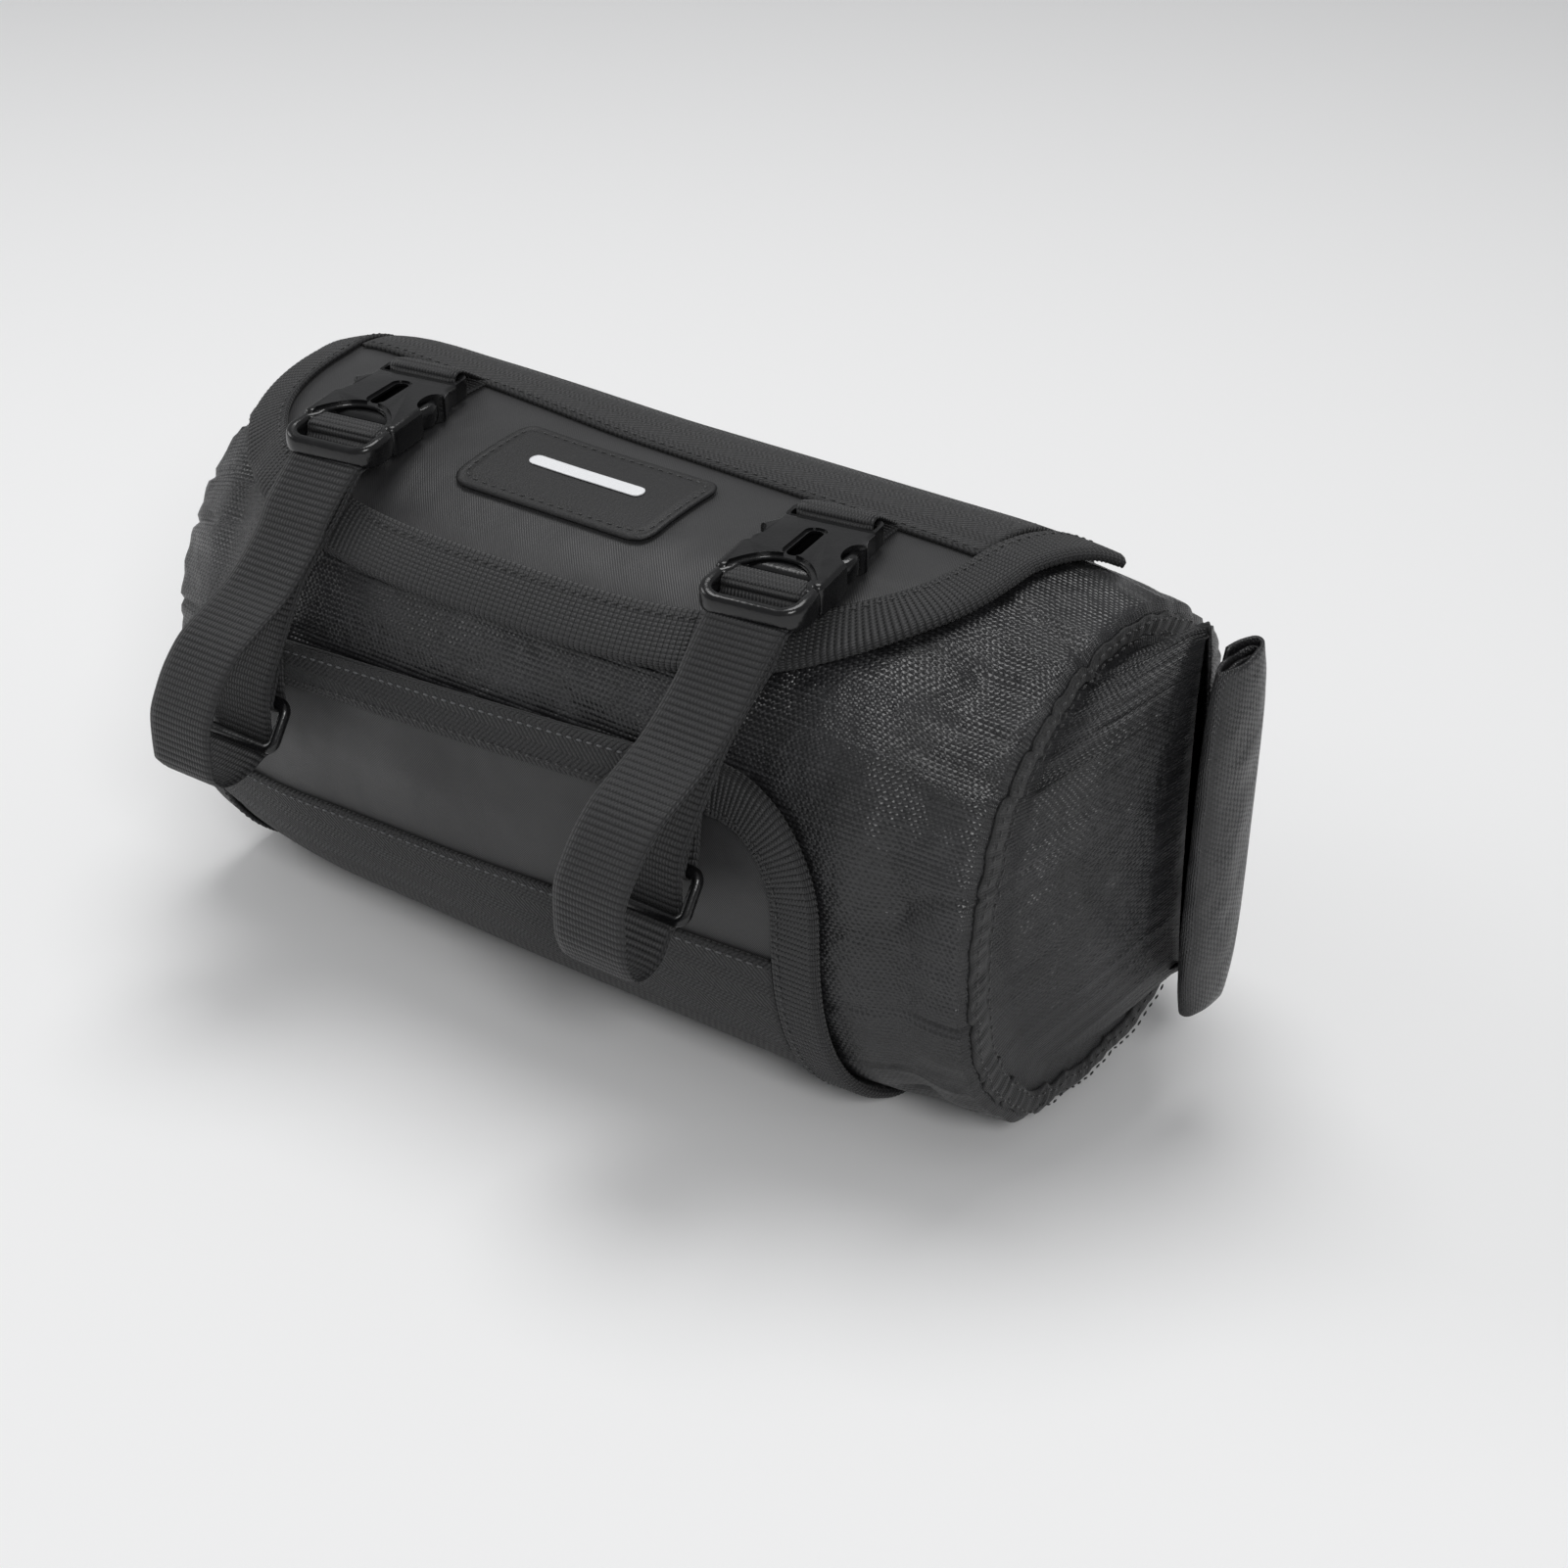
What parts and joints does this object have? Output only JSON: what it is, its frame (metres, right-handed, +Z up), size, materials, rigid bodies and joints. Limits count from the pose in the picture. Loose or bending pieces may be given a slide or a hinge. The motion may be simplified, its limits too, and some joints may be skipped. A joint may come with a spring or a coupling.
{
  "type": "bicycle handlebar bag",
  "caption": "Black roll-closed handlebar bag in a fabric holster with a bound flap, a plain rubber patch and two webbing straps in side-release buckles.",
  "frame": {"origin": "middle of the underside of the bag's bounding box", "axes": "+X along the bag to the right as seen from the front, -Y towards the front where the straps hang, +Z up"},
  "size_m": [0.3676, 0.2402, 0.1777],
  "materials": {
    "coated_ripstop": "satin",
    "coated_fabric": "satin",
    "webbing": "matte",
    "moulded_plastic": "gloss",
    "rubber": "matte",
    "reflective_film": "satin"
  },
  "bodies": {
    "root": {"dry_bag": "coated_ripstop", "end_band_left": "webbing", "end_band_right": "webbing", "end_roll_left": "coated_ripstop", "end_roll_right": "coated_ripstop", "flap": "coated_fabric", "front_panel": "coated_fabric", "base_panel": "webbing", "back_panel": "coated_fabric", "flap_back_tape": "webbing", "flap_binding": "webbing", "mouth_tape": "webbing", "bottom_tape": "webbing", "base_back_tape": "webbing", "side_binding_left": "webbing", "side_binding_right": "webbing", "patch": "rubber", "patch_bar": "reflective_film", "strap_left": "webbing", "strap_right": "webbing", "ring_left": "moulded_plastic", "ring_right": "moulded_plastic", "ring_tab_left": "webbing", "ring_tab_right": "webbing", "buckle_male_left": "moulded_plastic", "buckle_male_right": "moulded_plastic", "buckle_female_left": "moulded_plastic", "buckle_female_right": "moulded_plastic", "buckle_tab_left": "webbing", "buckle_tab_right": "webbing", "bar_loop_left": "webbing", "bar_loop_right": "webbing"}
  },
  "joints": []
}
